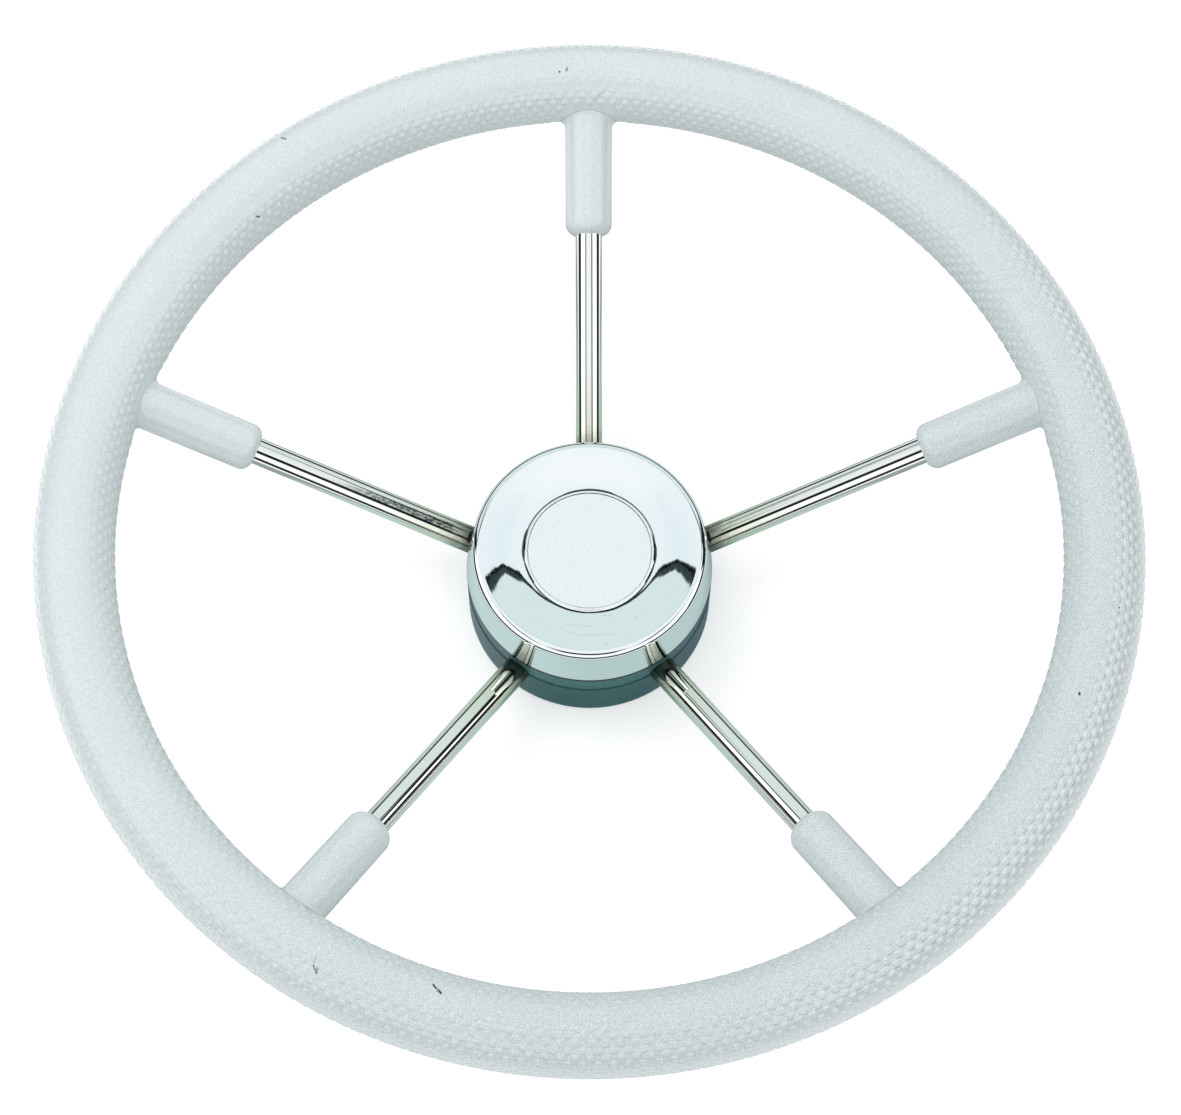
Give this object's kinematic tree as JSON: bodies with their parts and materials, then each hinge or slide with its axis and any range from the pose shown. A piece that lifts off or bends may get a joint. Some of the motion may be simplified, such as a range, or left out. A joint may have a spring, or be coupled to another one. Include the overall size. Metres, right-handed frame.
{
  "type": "boat steering wheel",
  "caption": "Dished boat steering wheel: thick pale moulded rim with raised dot grip, slim polished spokes with moulded sleeves, and a chromed cap on a dark hub with a keyed tapered bore.",
  "frame": {"origin": "centre of the hub's flat back face, on the turning axis", "axes": "+Z along the turning axis, from the helm towards the driver; +Y up along the top spoke; +X to the driver's right"},
  "size_m": [0.4, 0.4, 0.0787],
  "materials": {
    "grip": "matte",
    "core_steel": "satin",
    "spoke_steel": "polished",
    "boss_steel": "satin",
    "hub_casing": "satin",
    "screw_steel": "satin",
    "cap_chrome": "polished",
    "o_ring": "matte",
    "disc_metal": "satin"
  },
  "bodies": {
    "root": {"rim_grip": "grip", "rim_core": "core_steel", "spoke_top": "spoke_steel", "spoke_upper_right": "spoke_steel", "spoke_lower_right": "spoke_steel", "spoke_lower_left": "spoke_steel", "spoke_upper_left": "spoke_steel", "hub_boss": "boss_steel", "lower_shroud": "hub_casing", "upper_shroud": "hub_casing", "shroud_screws": "screw_steel", "hub_cap": "cap_chrome", "cap_o_ring": "o_ring", "centre_disc": "disc_metal"}
  },
  "joints": []
}
